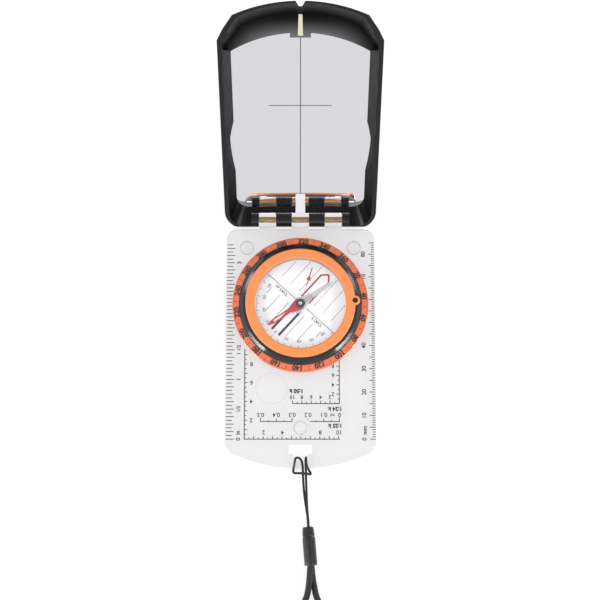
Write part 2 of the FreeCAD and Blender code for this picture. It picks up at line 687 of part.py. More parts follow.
def make_toggle_sleeve():
    length = (TOGGLE_END - TOGGLE_TOP).Length
    body = ring([
        (0, TOGGLE_CAP_L), (2.4, TOGGLE_CAP_L), (TOGGLE_R, TOGGLE_CAP_L + 0.5),
        (TOGGLE_R, length - 1.0), (2.65, length), (0, length)])
    return along_toggle(body)


def make_neck_runs():
    left = tube("neck left", NECK_LEFT, NECK_D)
    right = tube("neck right", NECK_RIGHT, NECK_D)
    return at_dial(Part.makeCompound([left, right]))


def make_neck_coil():
    """Outer shape of the put-away turns: a ring with rounded edges."""
    r = 1.1
    coil = ring([
        (COIL_R_IN + r, COIL_LOW), (COIL_R_OUT - r, COIL_LOW), (COIL_R_OUT, COIL_LOW + r),
        (COIL_R_OUT, COIL_HIGH - r), (COIL_R_OUT - r, COIL_HIGH), (COIL_R_IN + r, COIL_HIGH),
        (COIL_R_IN, COIL_HIGH - r), (COIL_R_IN, COIL_LOW + r)])
    coil.translate(COIL_CENTRE)
    return at_dial(coil)


def make_coil_tie():
    """Band round the far side of the coil."""
    half_w = 2.2
    gap = 0.35
    t = 0.5
    y_in = -COIL_R_IN + gap
    y_out = -COIL_R_OUT - gap + 0.2
    outer = box(-half_w, half_w, y_out - t, y_in + t, COIL_LOW - 0.1 - t, COIL_HIGH + 0.1 + t)
    inner = box(-half_w - 1, half_w + 1, y_out, y_in, COIL_LOW - 0.1, COIL_HIGH + 0.1)
    tie = outer.cut(inner)
    tie.translate(COIL_CENTRE)
    return at_dial(tie)


# ---------------------------------------------------------------- all nodes

shapes["baseplate"] = make_baseplate()
for foot_name, foot_place in FOOT_PLACES.items():
    shapes[foot_name] = make_foot(*foot_place)
shapes["hinge_pin"] = make_hinge_pin()
shapes["dial_ring"] = make_dial_ring()
shapes["grip_ring"] = make_grip_ring()
shapes["top_ring"] = make_top_ring()
shapes["dial_retaining_ring"] = make_retaining_ring()
shapes["declination_gear"] = make_declination_gear()
shapes["declination_screw"] = make_declination_screw()
shapes["capsule_base"] = make_capsule_base()
shapes["capsule_seal"] = make_capsule_seal()
shapes["capsule_cover"] = make_capsule_cover()
shapes["pivot_post"] = make_pivot_post()
shapes["needle"] = make_needle()
shapes["needle_magnet"] = make_needle_magnet()
shapes["needle_hub"] = make_needle_hub()
shapes["hub_jewel"] = make_hub_jewel()
shapes["clinometer_pointer"] = make_clinometer_pointer()
shapes["lid_shell"] = make_lid_shell()
shapes["mirror"] = make_mirror()
shapes["mirror_pad"] = make_mirror_pad()
shapes["sight_strip"] = make_sight_strip()
shapes["toggle_cap"] = make_toggle_cap()
shapes["toggle_sleeve"] = make_toggle_sleeve()
shapes["hitch_cord"] = at_dial(tube("hitch", HITCH_ROUTE, HITCH_D))
shapes["neck_cord_run"] = make_neck_runs()
shapes["neck_cord_coil"] = make_neck_coil()
shapes["coil_tie"] = make_coil_tie()

os.makedirs("parts", exist_ok=True)
for node, shape in shapes.items():
    shape.exportStep("parts/" + node + ".step")
    bounds = FreeCAD.BoundBox()
    for corner in shape.tessellate(0.02)[0]:
        bounds.add(corner)
    print("%-20s solids %d valid %s volume %8.1f  x %.1f..%.1f y %.1f..%.1f z %.2f..%.2f" % (
        node, len(shape.Solids), shape.isValid(), shape.Volume,
        bounds.XMin, bounds.XMax, bounds.YMin, bounds.YMax, bounds.ZMin, bounds.ZMax))
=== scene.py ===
"""Looks of the mirror-sighting baseplate compass, built round its CAD frame."""
import math

import bmesh
import bpy
from mathutils import Matrix, Vector


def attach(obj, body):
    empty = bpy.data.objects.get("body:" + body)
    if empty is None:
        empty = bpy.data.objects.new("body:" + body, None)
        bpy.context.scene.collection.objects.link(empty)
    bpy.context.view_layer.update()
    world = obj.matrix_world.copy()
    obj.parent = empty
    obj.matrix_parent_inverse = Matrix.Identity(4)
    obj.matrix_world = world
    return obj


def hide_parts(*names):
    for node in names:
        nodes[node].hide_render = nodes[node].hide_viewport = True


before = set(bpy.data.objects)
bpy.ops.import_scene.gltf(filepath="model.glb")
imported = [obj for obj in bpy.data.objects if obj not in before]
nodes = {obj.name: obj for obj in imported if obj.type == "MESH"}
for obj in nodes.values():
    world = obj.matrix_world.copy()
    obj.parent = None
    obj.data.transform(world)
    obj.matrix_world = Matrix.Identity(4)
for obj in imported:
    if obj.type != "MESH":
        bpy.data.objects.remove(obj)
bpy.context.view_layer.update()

# The frame is in metres; sizes and places here are in millimetres unless a comment says metres.
MM = 0.001
DIAL_Y = -16.8
PLATE_TOP = 3.6
HINGE_Y = DIAL_Y + 37.2
HINGE_Z = 7.0
LID_OPEN = math.radians(52.0)
ALONG_LID = Vector((0, math.cos(LID_OPEN), math.sin(LID_OPEN)))
OVER_LID = Vector((0, -math.sin(LID_OPEN), math.cos(LID_OPEN)))
MIRROR_FACE = -5.7          # over the hinge axis, in the lid's own directions
INK = 0.02                  # thickness of printing
INK_GAP = 0.005             # keeps printing clear of the face under it
FONT_HEIGHT = 0.69          # height of the font's figures at size 1


# ---------------------------------------------------------------- shader helpers

def material(name, colour, rough=0.5, metal=0.0, grain=0.0, grain_size=0.3, vary=0.06, **more):
    """Principled material with fine colour variation and a fine bump."""
    mat = bpy.data.materials.new(name)
    mat.use_nodes = True
    tree = mat.node_tree
    shader = tree.nodes["Principled BSDF"]
    shader.inputs["Metallic"].default_value = metal
    for key, value in more.items():
        shader.inputs[key.replace("_", " ")].default_value = value
    coords = tree.nodes.new("ShaderNodeTexCoord")
    noise = tree.nodes.new("ShaderNodeTexNoise")
    noise.inputs["Scale"].default_value = 1000.0 / grain_size
    noise.inputs["Detail"].default_value = 3.0
    tree.links.new(coords.outputs["Object"], noise.inputs["Vector"])
    broad = tree.nodes.new("ShaderNodeTexNoise")
    broad.inputs["Scale"].default_value = 120.0     # patches of about 8 mm
    broad.inputs["Detail"].default_value = 2.0
    tree.links.new(coords.outputs["Object"], broad.inputs["Vector"])
    ramp = tree.nodes.new("ShaderNodeValToRGB")
    dark, light = ramp.color_ramp.elements
    dark.position = 0.3
    light.position = 0.7
    dark.color = [c * (1 - vary) for c in colour[:3]] + [1]
    light.color = [min(1, c * (1 + vary)) for c in colour[:3]] + [1]
    tree.links.new(broad.outputs["Fac"], ramp.inputs["Fac"])
    tree.links.new(ramp.outputs["Color"], shader.inputs["Base Color"])
    spread = tree.nodes.new("ShaderNodeMapRange")
    either_way = 0.05 if rough > 0.1 else 0.0
    spread.inputs["To Min"].default_value = max(0.0, rough - either_way)
    spread.inputs["To Max"].default_value = min(1.0, rough + either_way)
    tree.links.new(noise.outputs["Fac"], spread.inputs["Value"])
    tree.links.new(spread.outputs["Result"], shader.inputs["Roughness"])
    if grain:
        bump = tree.nodes.new("ShaderNodeBump")
        bump.inputs["Strength"].default_value = grain
        bump.inputs["Distance"].default_value = 0.05 * MM
        tree.links.new(noise.outputs["Fac"], bump.inputs["Height"])
        tree.links.new(bump.outputs["Normal"], shader.inputs["Normal"])
    return mat


def clear(name, colour, alpha, rough=0.03, **more):
    """Smooth see-through material, as a thin veil of its colour."""
    return material(name, colour, rough, vary=0.01, grain_size=2.0, Alpha=alpha, **more)


def maths(tree, operation, first, second=None, third=None):
    """Math node; each input is a number or another node's output."""
    node = tree.nodes.new("ShaderNodeMath")
    node.operation = operation
    for place, value in zip(node.inputs, (first, second, third)):
        if value is None:
            continue
        if isinstance(value, (int, float)):
            place.default_value = value
        else:
            tree.links.new(value, place)
    return node.outputs["Value"]


def vector_maths(tree, operation, first, second=None):
    """Vector math node on another node's output and a fixed vector."""
    node = tree.nodes.new("ShaderNodeVectorMath")
    node.operation = operation
    tree.links.new(first, node.inputs[0])
    if second is not None:
        node.inputs[1].default_value = second
    return node.outputs["Value" if operation in ("DOT_PRODUCT", "LENGTH") else "Vector"]


def object_place(tree):
    """Place on the object, in metres."""
    coords = [n for n in tree.nodes if n.type == "TEX_COORD"][0]
    return coords.outputs["Object"]


def place_from(tree, x, y, z):
    """Place on the object in metres, measured from a point given in millimetres."""
    return vector_maths(tree, "SUBTRACT", object_place(tree), (x * MM, y * MM, z * MM))


def distance_from(tree, x, y):
    """Distance in metres from an upright axis through a point given in millimetres."""
    flat = vector_maths(tree, "MULTIPLY", place_from(tree, x, y, 0), (1, 1, 0))
    return vector_maths(tree, "LENGTH", flat)


def lid_place(tree):
    """Distance from the hinge axis along the lid, and height over it, in metres."""
    away = place_from(tree, 0, HINGE_Y, HINGE_Z)
    return [vector_maths(tree, "DOT_PRODUCT", away, way) for way in (ALONG_LID, OVER_LID)]


def band(tree, value, low, high):
    """1 where the value lies between low and high in millimetres, else 0."""
    return maths(tree, "MULTIPLY", maths(tree, "GREATER_THAN", value, low * MM),
                 maths(tree, "LESS_THAN", value, high * MM))


def eased(tree, value, low, high):
    """0 at low, rising smoothly to 1 at high, both in millimetres."""
    fade = tree.nodes.new("ShaderNodeMapRange")
    fade.interpolation_type = "SMOOTHSTEP"
    fade.inputs["From Min"].default_value = low * MM
    fade.inputs["From Max"].default_value = high * MM
    tree.links.new(value, fade.inputs["Value"])
    return fade.outputs["Result"]


def steepness(tree):
    """0 on level faces, 1 on upright ones."""
    geometry = tree.nodes.new("ShaderNodeNewGeometry")
    parts = tree.nodes.new("ShaderNodeSeparateXYZ")
    tree.links.new(geometry.outputs["Normal"], parts.inputs["Vector"])
    return maths(tree, "SUBTRACT", 1.0, maths(tree, "ABSOLUTE", parts.outputs["Z"]))


def set_alpha(mat, value):
    mat.node_tree.links.new(value, mat.node_tree.nodes["Principled BSDF"].inputs["Alpha"])


def two_colours(mat, angle, edge, first, second):
    """Colour changes across a line, edge millimetres from the dial's axis at an angle.

    Returns 1 where the first colour is, on the far side of the line, and 0 elsewhere.
    """
    tree = mat.node_tree
    direction = (math.cos(angle), math.sin(angle), 0)
    reach = vector_maths(tree, "DOT_PRODUCT", place_from(tree, 0, DIAL_Y, 0), direction)
    side = maths(tree, "GREATER_THAN", reach, edge * MM)
    mix = tree.nodes.new("ShaderNodeMix")
    mix.data_type = "RGBA"
    mix.inputs["A"].default_value = list(second) + [1]
    mix.inputs["B"].default_value = list(first) + [1]
    tree.links.new(side, mix.inputs["Factor"])
    tree.links.new(mix.outputs["Result"], tree.nodes["Principled BSDF"].inputs["Base Color"])
    return side


def lighten(mat, amount):
    """Add a grey amount, another node's output, to the material's colour, as painted light."""
    tree = mat.node_tree
    colour = tree.nodes["Principled BSDF"].inputs["Base Color"]
    mix = tree.nodes.new("ShaderNodeMix")
    mix.data_type = "RGBA"
    mix.blend_type = "ADD"
    mix.inputs["Factor"].default_value = 1.0
    tree.links.new(colour.links[0].from_socket, mix.inputs["A"])
    tree.links.new(amount, mix.inputs["B"])
    tree.links.new(mix.outputs["Result"], colour)


# ---------------------------------------------------------------- dressing the CAD nodes

def dress(mat, *names):
    for name in names:
        for place in nodes[name].material_slots:
            place.material = mat


def dress_part(name, mat, chosen):
    """Another material on the faces that a test picks by centre, in millimetres, and normal."""
    mesh = nodes[name].data
    mesh.materials.append(mat)
    slot = len(mesh.materials) - 1
    for face in mesh.polygons:
        if chosen(face.center / MM, face.normal):
            face.material_index = slot


KNUCKLE_REACH = 3.25        # from the hinge axis back along the plate
BORE_REACH = 1.3            # takes in the pin's bore, and not the knuckles' outside
BAY_FLOOR = MIRROR_FACE - 0.1
HOOD_START = 79.5           # from the hinge axis along the lid


def on_knuckle(centre, normal):
    return centre.y > HINGE_Y - KNUCKLE_REACH and centre.z > PLATE_TOP + 0.3


def in_pin_bore(centre, normal):
    return math.hypot(centre.y - HINGE_Y, centre.z - HINGE_Z) < BORE_REACH


def in_lid(centre, normal):
    """Along, over and inward parts of a face's centre and normal in the lid's own directions."""
    away = centre - Vector((0, HINGE_Y, HINGE_Z))
    inward = -normal.x if centre.x > 0 else normal.x
    return (away.dot(ALONG_LID), away.dot(OVER_LID),
            normal.dot(ALONG_LID), normal.dot(OVER_LID), inward)


def on_bay_wall(centre, normal):
    along, over, _, _, inward = in_lid(centre, normal)
    at_side = 27.0 < abs(centre.x) < 30.9
    return inward > 0.75 and at_side and 9.0 < along < 97.0 and BAY_FLOOR < over < 3.0


def in_hood(centre, normal):
    along, over, forward, up, inward = in_lid(centre, normal)
    if along < HOOD_START or not BAY_FLOOR < over < 8.0:
        return False
    on_hood_floor = up > 0.7 and over < -4.6
    return on_hood_floor or forward < -0.25 or inward > 0.15


# ---------------------------------------------------------------- base: plate, feet, pin

MAGNIFIER = (-12.3, DIAL_Y - 35.6)      # its middle
FEET = {"foot_left": (-23.3, 26.0), "foot_right": (23.3, 26.0), "foot_front": (0.0, -52.3)}


def plate_material():
    """Clear acrylic whose bevels, edges and magnifier rim are real, shown by a thicker grey veil
    that is painted shade for the light they bend.
    """
    mat = clear("clear acrylic", (0.30, 0.30, 0.32), 0.13, 0.04, Specular_IOR_Level=0.6)
    tree = mat.node_tree
    rim = band(tree, distance_from(tree, *MAGNIFIER), 6.4, 6.9)
    faces = maths(tree, "MULTIPLY_ADD", steepness(tree), 0.22, 0.14)
    set_alpha(mat, maths(tree, "MULTIPLY_ADD", rim, 0.05, faces))
    return mat


def foot_material(foot, x, y):
    """Soft clear disc whose real rim is shown by a grey veil, painted shade for the light its
    edge bends.
    """
    mat = clear("soft clear " + foot, (0.50, 0.50, 0.52), 0.08, 0.35, Specular_IOR_Level=0.1)
    tree = mat.node_tree
    rim = band(tree, distance_from(tree, x, y + DIAL_Y), 2.6, 3.1)
    set_alpha(mat, maths(tree, "MULTIPLY_ADD", rim, 0.30, 0.03))
    return mat


pin_mat = material("drawn brass", (0.70, 0.50, 0.22), 0.3, 1.0, 0.2, 0.2)
knuckle_mat = material("clear hinge knuckle", (0.96, 0.97, 0.98), 0.0, vary=0.005,
                       Transmission_Weight=1.0, IOR=1.45)
dress(plate_material(), "baseplate")
dress_part("baseplate", knuckle_mat, on_knuckle)
dress_part("baseplate", pin_mat, in_pin_bore)
dress(pin_mat, "hinge_pin")
for foot, (x, y) in FEET.items():
    dress(foot_material(foot, x, y), foot)

# ---------------------------------------------------------------- dial and capsule

dress(clear("translucent orange", (0.79, 0.185, 0.08), 0.97, 0.18), "dial_ring")
dress(material("black rubber", (0.013, 0.014, 0.016), 0.14, 0.0, 0.06, 0.25), "grip_ring")
dress(material("matt orange", (0.85, 0.265, 0.075), 0.5, 0.0, 0.25, 0.2, 0.03), "top_ring")
# The screw's dark colour is painted shade for the deep hole it sits in.
dress(material("screw darkened as painted shade", (0.035, 0.018, 0.010), 0.4, 0.0, 0.2, 0.2),
      "declination_screw")
dress(material("black plastic", (0.02, 0.02, 0.02), 0.4, 0.0, 0.2, 0.3),
      "dial_retaining_ring", "declination_gear", "coil_tie")
dress(clear("clear capsule", (0.97, 0.98, 1.0), 0.03, 0.02, Specular_IOR_Level=0.4),
      "capsule_cover")
# The capsule floor's emission is painted light, a glow that lifts the dial's shade off the
# floor.
dress(clear("clear capsule floor with painted glow", (0.92, 0.93, 0.95), 0.8, 0.2,
            Emission_Color=(0.93, 0.94, 0.97, 1), Emission_Strength=0.18), "capsule_base")
dress(material("pale seal", (0.75, 0.75, 0.73), 0.5, 0.0, 0.2, 0.3), "capsule_seal")
dress(material("plain steel", (0.60, 0.60, 0.62), 0.25, 1.0, 0.1, 0.2), "pivot_post")

# ---------------------------------------------------------------- needle and pointer

RED = (0.52, 0.012, 0.03)
NEEDLE_ANGLE = math.radians(214.0)      # way the red end points, from +X
POINTER_ANGLE = math.radians(72.0)


def needle_material():
    """Red half, and a pale half that lets some light through."""
    mat = material("needle paint", RED, 0.35)
    red = two_colours(mat, NEEDLE_ANGLE, 0.0, RED, (0.62, 0.62, 0.64))
    set_alpha(mat, maths(mat.node_tree, "MULTIPLY_ADD", red, 0.35, 0.65))
    return mat


def pointer_material():
    """Red outer part on a thin clear arm."""
    mat = material("pointer paint", RED, 0.4)
    red = two_colours(mat, POINTER_ANGLE, 8.8, RED, (0.35, 0.33, 0.36))
    set_alpha(mat, maths(mat.node_tree, "MULTIPLY_ADD", red, 0.65, 0.3))
    return mat


dress(needle_material(), "needle")
dress(pointer_material(), "clinometer_pointer")
dress(material("grey magnet", (0.30, 0.02, 0.03), 0.4, 0.0, 0.2, 0.2), "needle_magnet")
dress(material("black hub", (0.012, 0.012, 0.014), 0.25), "needle_hub")
dress(material("pale jewel", (0.55, 0.56, 0.60), 0.15, 0.6), "hub_jewel")

# ---------------------------------------------------------------- lid


def hood_material():
    """Dull black, its reflections cut as painted shade, with painted light: a glow on the floor
    towards the mirror's top edge and a faint grey rising up the walls to the hood's rim.
    """
    mat = material("shaded black hood", (0.003, 0.003, 0.0035), 0.45, 0.0, 0.04, 0.6,
                   Specular_IOR_Level=0.05)
    tree = mat.node_tree
    along, over = lid_place(tree)
    on_floor = maths(tree, "MULTIPLY", band(tree, over, -5.6, -4.8),
                     band(tree, along, HOOD_START, 100.0))
    # Painted light: a glow on the hood's floor near the mirror, fading to painted shade by the
    # crease and sides, and a grey that grows up the walls.
    lit = maths(tree, "MULTIPLY", eased(tree, distance_from(tree, 0, 50.0), 40.0, 28.0),
                eased(tree, along, 96.0, 85.0))
    rim = maths(tree, "MULTIPLY", eased(tree, over, -4.5, 4.0), 0.035)
    lighten(mat, maths(tree, "MULTIPLY_ADD", maths(tree, "MULTIPLY", lit, on_floor), 0.13, rim))
    return mat


dress(material("satin black lid", (0.005, 0.005, 0.006), 0.24, 0.0, 0.03, 0.6, 0.08,
               Specular_IOR_Level=0.36), "lid_shell")
dress_part("lid_shell", hood_material(), in_hood)
# A dull copy of the lid's black for the bay's side walls, its reflections cut as painted shade.
dress_part("lid_shell", material("shaded black lid wall", (0.006, 0.006, 0.007), 0.6, 0.0, 0.04,
                                 0.6, Specular_IOR_Level=0.06), on_bay_wall)
dress(material("silvered mirror", (0.94, 0.93, 0.95), 0.015, 1.0, vary=0.01), "mirror")
dress(material("grey foam", (0.3, 0.3, 0.3), 0.8, 0.0, 0.5, 0.3), "mirror_pad")
dress(material("luminous strip", (0.56, 0.54, 0.40), 0.5, 0.0, 0.2, 0.3), "sight_strip")

# ---------------------------------------------------------------- toggle and inks

dress(material("toggle plastic", (0.008, 0.008, 0.009), 0.3, 0.0, 0.2, 0.3),
      "toggle_cap", "toggle_sleeve")
ink_mat = material("black ink", (0.02, 0.02, 0.022), 0.5)
north_ink_mat = material("mauve ink", (0.30, 0.10, 0.20), 0.5)
pale_ink_mat = material("grey ink", (0.10, 0.10, 0.12), 0.5)
red_ink_mat = material("red ink", RED, 0.5)
line_mat = material("sighting line", (0.03, 0.03, 0.03), 0.5)


# ---------------------------------------------------------------- printed detail

class Sheet:
    """Thin printed or applied detail, gathered into one mesh; its own plane is z = 0."""

    def __init__(self, thickness=INK):
        self.mesh = bmesh.new()
        self.thickness = thickness

    def polygon(self, points, place=Matrix()):
        low = [self.mesh.verts.new(place @ Vector((x, y, 0.0))) for x, y in points]
        high = [self.mesh.verts.new(place @ Vector((x, y, self.thickness))) for x, y in points]
        count = len(points)
        self.mesh.faces.new(high)
        self.mesh.faces.new(low[::-1])
        for i in range(count):
            j = (i + 1) % count
            self.mesh.faces.new((low[i], low[j], high[j], high[i]))

    def stroke(self, a, b, width, place=Matrix()):
        a, b = Vector(a), Vector(b)
        side = (b - a).normalized()
        side = Vector((-side.y, side.x)) * width / 2
        self.polygon([a - side, b - side, b + side, a + side], place)

    def text(self, words, size, x, y, turn=0.0, place=Matrix(), bold=0.0, across=1.0):
        """Words centred on (x, y); size is the height of the figures."""
        curve = bpy.data.curves.new("words", "FONT")
        curve.body = words
        curve.size = size / FONT_HEIGHT
        curve.align_x = "CENTER"
        curve.align_y = "CENTER"
        curve.offset = bold
        curve.resolution_u = 3
        curve.extrude = self.thickness / 2
        holder = bpy.data.objects.new("words", curve)
        bpy.context.scene.collection.objects.link(holder)
        bpy.context.view_layer.update()
        made = bpy.data.meshes.new_from_object(holder)
        middle = Matrix.Translation((x, y, self.thickness / 2))
        where = place @ middle @ Matrix.Rotation(turn, 4, "Z")
        made.transform(where @ Matrix.Diagonal((across, 1.0, 1.0, 1.0)))
        self.mesh.from_mesh(made)
        bpy.data.objects.remove(holder)
        bpy.data.curves.remove(curve)
        bpy.data.meshes.remove(made)

    def finish(self, name, mat, body, place=Matrix()):
        """Make the piece in metres and put it on its body."""
        mesh = bpy.data.meshes.new(name)
        bmesh.ops.recalc_face_normals(self.mesh, faces=self.mesh.faces[:])
        self.mesh.transform(Matrix.Scale(MM, 4) @ place)
        self.mesh.to_mesh(mesh)
        self.mesh.free()
        mesh.materials.append(mat)
        obj = bpy.data.objects.new(name, mesh)
        bpy.context.scene.collection.objects.link(obj)
        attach(obj, body)
        return obj


ON_PLATE = Matrix.Translation((0, DIAL_Y, PLATE_TOP + INK_GAP))
ON_LID = Matrix.Translation((0, HINGE_Y, HINGE_Z)) @ Matrix.Rotation(LID_OPEN, 4, "X")

# ---------------------------------------------------------------- scales on the plate

ZERO = -57.3                # the scales' zero, from the dial axis
LEFT, RIGHT = -23.8, 16.6   # outer lines of the corner scales
INCH = 25.4
TENTH_MILE = 6.706          # at 1:24 000
FIGURE = 1.75               # heights of figures and words
SMALL_FIGURE = 1.6
FRACTION = 1.45
SCALE_NAME = 1.65
TICK = 0.34                 # widths of lines
LONG_LINE = 0.38
SHORT_LINE = 0.36

scales = Sheet()


def mark(x1, y1, x2, y2, width=TICK):
    scales.stroke((x1, y1), (x2, y2), width)


def upwards(words, x, y, size=FIGURE, bold=0.06):
    scales.text(words, size, x, y, math.pi / 2, bold=bold)


def upside_down(words, x, y, size=FIGURE, bold=0.05):
    scales.text(words, size, x, y, math.pi, bold=bold)


# sixteenths of an inch down the left edge, millimetres down the right edge
for tick in range(54):
    y = ZERO + tick * INCH / 16
    mark(-31.7, y, -28.3 if tick % 2 == 0 else -29.1, y)
for tick in range(86):
    mark(29.5 if tick % 5 == 0 else 30.6, ZERO + tick, 31.9, ZERO + tick)
for value in range(0, 90, 10):
    upwards(str(value), 27.2, ZERO + value)
upwards("mm", 27.4, ZERO + 3.7, SMALL_FIGURE, 0.08)
for halves, words in enumerate(("0", "1/2", "1", "1 1/2", "2", "2 1/2", "3")):
    upwards(words, -26.3, ZERO + halves * INCH / 2, FRACTION if "/" in words else FIGURE)
upwards("in", -26.4, ZERO + 2.7, SMALL_FIGURE, 0.08)

# 1:25 000 corner scale: 4 mm to each hundred metres
mark(LEFT, ZERO - 0.15, LEFT, ZERO + 38.5, LONG_LINE)
mark(LEFT - 0.15, ZERO, RIGHT + 0.15, ZERO, LONG_LINE)
for step in range(21):
    reach = 1.25 if step % 2 == 0 else 0.75
    mark(LEFT + 2 * step, ZERO, LEFT + 2 * step, ZERO + reach)
    if step < 19:
        mark(LEFT, ZERO + 2 * step, LEFT + reach, ZERO + 2 * step)
for value in (2, 4, 6, 8):
    upside_down(str(value), LEFT + 2.9, ZERO + 4 * value)
for value in (2, 4, 8, 10):
    upside_down(str(value), LEFT + 4 * value + 0.2, ZERO + 2.9)
upside_down("1:25 k", RIGHT - 1.8, ZERO + 5.7, SCALE_NAME, 0.11)

# 1:24 000 scale in miles, its line broken in the middle
MILES_Y = ZERO + 7.45
mark(RIGHT + 0.12, MILES_Y, RIGHT - 1.88 * TENTH_MILE, MILES_Y, SHORT_LINE)
mark(RIGHT - 3 * TENTH_MILE, MILES_Y, RIGHT - 5 * TENTH_MILE - 0.12, MILES_Y, SHORT_LINE)
for step in range(11):
    x = RIGHT - step * TENTH_MILE / 2
    if step != 5:
        reach = 1.6 if step in (0, 6, 10) else (1.2 if step % 2 == 0 else 0.6)
        low = MILES_Y + (0.5 if step == 4 else 0.0)
        mark(x, low, x, MILES_Y + reach)
for tenths, words in enumerate(("0", "0.1", "0.2", "0.3", "0.4", "0.5")):
    upside_down(words, RIGHT - tenths * TENTH_MILE, MILES_Y + 2.9)
upside_down("mi", RIGHT - 3.0, MILES_Y + 2.7, 1.3)
upside_down("1:24 k", RIGHT - 1.8, MILES_Y + 5.4, SCALE_NAME, 0.11)

# 1:50 000 corner scale: 2 mm to each hundred metres
GRID_Y = ZERO + 15.05
mark(RIGHT + 0.12, GRID_Y, RIGHT - 20.12, GRID_Y, SHORT_LINE)
mark(RIGHT, GRID_Y, RIGHT, GRID_Y + 19.0, SHORT_LINE)
for step in range(11):
    reach = 1.3 if step % 2 == 0 else 0.75
    mark(RIGHT - 2 * step, GRID_Y, RIGHT - 2 * step, GRID_Y + reach)
    if step < 9:
        mark(RIGHT, GRID_Y + 2 * step, RIGHT - reach, GRID_Y + 2 * step)
for value in (2, 4, 6, 8, 10):
    upside_down(str(value), RIGHT - 2 * value, GRID_Y + 2.8, SMALL_FIGURE)
for value in (2, 4, 6, 8):
    upside_down(str(value), RIGHT - 2.7, GRID_Y + 2 * value + 0.1, SMALL_FIGURE)
upside_down("1:50 k", RIGHT - 18.3, GRID_Y + 5.4, SCALE_NAME, 0.13)
scales.finish("plate_scales", ink_mat, "base", ON_PLATE)

# ---------------------------------------------------------------- bearings on the dial ring

NORTH = math.radians(90.0 - 42.5)       # way the dial's 360 mark points, from +X
FLANGE_START = (26.3, 7.82)             # radius and height of the slope's inner edge
FLANGE_SLOPE = math.atan2(0.55, 2.65)


def on_flange(bearing):
    """Frame on the flange's sloped face at a bearing: x along the rim, y outwards."""
    turn = NORTH - math.radians(bearing)
    return (Matrix.Translation((0, DIAL_Y, 0)) @ Matrix.Rotation(turn - math.pi / 2, 4, "Z")
            @ Matrix.Translation((0, *FLANGE_START)) @ Matrix.Rotation(-FLANGE_SLOPE, 4, "X"))


bearings = Sheet()
for bearing in range(0, 360, 2):
    labelled = bearing % 20 == 0
    inner = 2.1 if labelled or bearing % 10 else 0.9
    bearings.stroke((0, inner), (0, 2.68), 0.2, on_flange(bearing))
for bearing in range(0, 360, 20):
    bearings.text(str(bearing or 360), 2.0, 0, 1.1, place=on_flange(bearing), bold=0.13,
                  across=1.05)
bearings.finish("bearing_scale", ink_mat, "dial")

# ---------------------------------------------------------------- printing on the capsule floor

CAPSULE_FLOOR = 5.41
CAPSULE_RIM = 19.4          # radius of the printed floor
IN_CAPSULE = (Matrix.Translation((0, DIAL_Y, CAPSULE_FLOOR))
              @ Matrix.Rotation(NORTH - math.pi / 2, 4, "Z"))

north_lines = Sheet()
south_lines = Sheet()
for across, low in ((4.45, -14.1), (9.4, -12.0), (14.3, -5.9)):
    high = math.sqrt(CAPSULE_RIM ** 2 - across ** 2) - 0.1
    for x in (-across, across):
        north_lines.stroke((x, 3.9), (x, high), 0.2)
        south_lines.stroke((x, -2.7), (x, low), 0.24)
north_lines.finish("north_orienting_lines", north_ink_mat, "capsule", IN_CAPSULE)
south_lines.finish("south_orienting_lines", pale_ink_mat, "capsule", IN_CAPSULE)

arrow = Sheet()
for side in (-1, 1):
    arrow.stroke((side * 2.2, 3.0), (side * 2.2, 15.6), 0.75)
    arrow.stroke((side * 2.45, 15.4), (0, 18.0), 0.75)
arrow.finish("orienting_arrow", red_ink_mat, "capsule", IN_CAPSULE)


def from_south(degrees, radius):
    """Point on the floor at an angle from the S mark, counted towards E."""
    angle = math.radians(degrees) - math.pi / 2
    return radius * math.cos(angle), radius * math.sin(angle)


dark = Sheet()
for side in (-1, 1):
    dark.stroke((side * 2.0, -3.0), (side * 2.0, -16.0), 1.05)
    dark.stroke((side * 3.0, 0.6), (side * CAPSULE_RIM, 0.6), 0.28)
dark.text("N", 1.5, 0, 5.3)
dark.text("S", 1.5, 0, -4.2)
dark.text("E DECL", 1.2, 10.2, -0.8, bold=0.05)
dark.text("W DECL", 1.2, -10.2, -0.8, bold=0.05)
for degrees in range(-90, 91, 2):
    if abs(degrees) > 10 or degrees % 10 == 0:
        near = 17.7 if degrees % 10 == 0 else 18.6
        dark.stroke(from_south(degrees, near), from_south(degrees, 19.3), 0.18)
for degrees in range(-80, 81, 20):
    dark.text(str(abs(degrees)), 1.35, *from_south(degrees, 15.9), math.radians(degrees))
dark.finish("capsule_scale", ink_mat, "capsule", IN_CAPSULE)

# ---------------------------------------------------------------- lines on the mirror

ON_MIRROR = ON_LID @ Matrix.Translation((0, 0, MIRROR_FACE + INK_GAP))

lines = Sheet()
lines.stroke((0, 9.8), (0, 86.3), 0.34)
lines.stroke((-12.8, 54.8), (12.8, 54.8), 0.3)
lines.finish("sighting_lines", line_mat, "lid", ON_MIRROR)

# ---------------------------------------------------------------- cords

HITCH_D = 1.0               # diameters
NECK_D = 2.6

